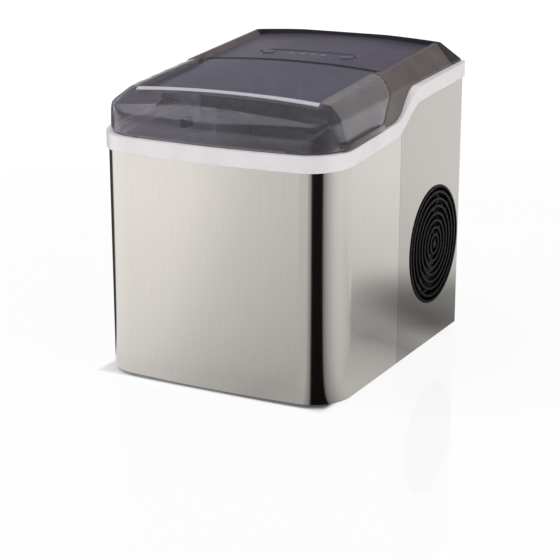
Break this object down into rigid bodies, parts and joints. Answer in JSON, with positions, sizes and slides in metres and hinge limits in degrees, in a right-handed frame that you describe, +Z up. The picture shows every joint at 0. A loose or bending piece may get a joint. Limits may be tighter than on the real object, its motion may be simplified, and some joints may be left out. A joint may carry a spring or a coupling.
{
  "type": "portable ice maker",
  "caption": "Countertop bullet ice maker with a brushed steel cabinet, smoked hinged lid, moulded control deck, lift-out ice basket, tilting water tray and round fan vents.",
  "frame": {"origin": "centre of the outline seen from above, at the underside of the feet", "axes": "+Z up, the front with the lid's handle edge faces -Y, the viewer's right at the front is +X"},
  "size_m": [0.2468, 0.293, 0.2883],
  "materials": {
    "steel": "brushed",
    "galvanised": "dull",
    "trim_white": "satin",
    "deck_grey": "gloss",
    "panel_violet": "gloss",
    "lid_smoke": "clear",
    "lens": "clear",
    "black_plastic": "matte",
    "rubber": "matte",
    "liner_grey": "satin",
    "white_plastic": "satin",
    "grey_plastic": "satin",
    "foam": "matte",
    "nickel": "bright",
    "copper": "satin",
    "aluminium": "satin",
    "stainless": "bright",
    "black_enamel": "gloss",
    "board": "satin",
    "float_orange": "satin",
    "silicone": "satin",
    "valve_blue": "satin"
  },
  "bodies": {
    "cabinet": {"base_pan": "galvanised", "feet": "rubber", "front_wrap": "steel", "side_panel_right": "steel", "side_panel_left": "steel", "rear_panel": "galvanised", "vent_grille_right": "black_plastic", "vent_grille_left": "black_plastic", "trim_ring": "trim_white", "deck_housing": "deck_grey", "deck_panel": "panel_violet", "indicator_lenses": "lens", "control_board": "board", "hinge_pins": "stainless", "inner_liner": "liner_grey", "tub_collar": "liner_grey", "liner_insulation": "foam", "bulkhead": "galvanised", "evaporator_header": "copper", "evaporator_fingers": "nickel", "evaporator_bracket": "white_plastic", "shaft_bushes": "white_plastic", "tray_motor": "grey_plastic", "water_nozzle": "white_plastic", "water_pump": "white_plastic", "supply_hose": "silicone", "pump_screen": "stainless", "float_stem": "white_plastic", "ice_sensors": "black_plastic", "drain_pipe": "silicone", "drain_spout": "white_plastic", "compressor": "black_enamel", "compressor_mounts": "rubber", "mount_bolts": "stainless", "condenser_fins": "aluminium", "condenser_coil": "copper", "fan_shroud": "grey_plastic", "fan_motor": "black_plastic", "filter_drier": "copper", "discharge_pipe": "copper", "suction_pipe": "copper", "liquid_pipe": "copper", "capillary_tube": "copper", "hot_gas_valve": "valve_blue", "power_board": "board", "cord_gland": "black_plastic", "case_screws": "stainless"},
    "lid": {"lid": "lid_smoke"},
    "power_button": {"power_button": "grey_plastic"},
    "select_button": {"select_button": "grey_plastic"},
    "ice_basket": {"ice_basket": "white_plastic"},
    "water_tray": {"water_tray": "white_plastic", "tray_shaft": "stainless"},
    "ice_shovel": {"ice_shovel": "white_plastic"},
    "level_float": {"level_float": "float_orange"},
    "fan_rotor": {"fan_rotor": "black_plastic"},
    "drain_plug": {"drain_plug": "silicone"}
  },
  "joints": [
    {"name": "lid_hinge", "type": "hinge", "parent": "cabinet", "child": "lid", "pos_m": [0, 0.0002, 0.2672], "axis": [-1, 0, 0], "range_deg": [0, 78]},
    {"name": "power_press", "type": "slide", "parent": "cabinet", "child": "power_button", "axis": [0, 0, -1], "range_m": [0, 0.0008], "stiffness_N_per_m": 300},
    {"name": "select_press", "type": "slide", "parent": "cabinet", "child": "select_button", "axis": [0, 0, -1], "range_m": [0, 0.0008], "stiffness_N_per_m": 300},
    {"name": "basket_lift", "type": "slide", "parent": "cabinet", "child": "ice_basket", "axis": [0, 0, 1], "range_m": [0, 0.045]},
    {"name": "tray_tilt", "type": "hinge", "parent": "cabinet", "child": "water_tray", "pos_m": [0, 0.062, 0.236], "axis": [1, 0, 0], "range_deg": [0, 60]},
    {"name": "shovel_sweep", "type": "hinge", "parent": "cabinet", "child": "ice_shovel", "pos_m": [0, 0.062, 0.236], "axis": [1, 0, 0], "range_deg": [-84, 0]},
    {"name": "float_rise", "type": "slide", "parent": "cabinet", "child": "level_float", "axis": [0, 0, 1], "range_m": [0, 0.01]},
    {"name": "fan_spin", "type": "hinge", "parent": "cabinet", "child": "fan_rotor", "pos_m": [0.1, 0.078, 0.0992], "axis": [1, 0, 0], "continuous": true},
    {"name": "drain_pull", "type": "slide", "parent": "cabinet", "child": "drain_plug", "axis": [0, 1, 0], "range_m": [0, 0.025]}
  ],
  "couplings": [
    {"joint": "shovel_sweep", "follows": "tray_tilt", "ratio": -1.4}
  ]
}
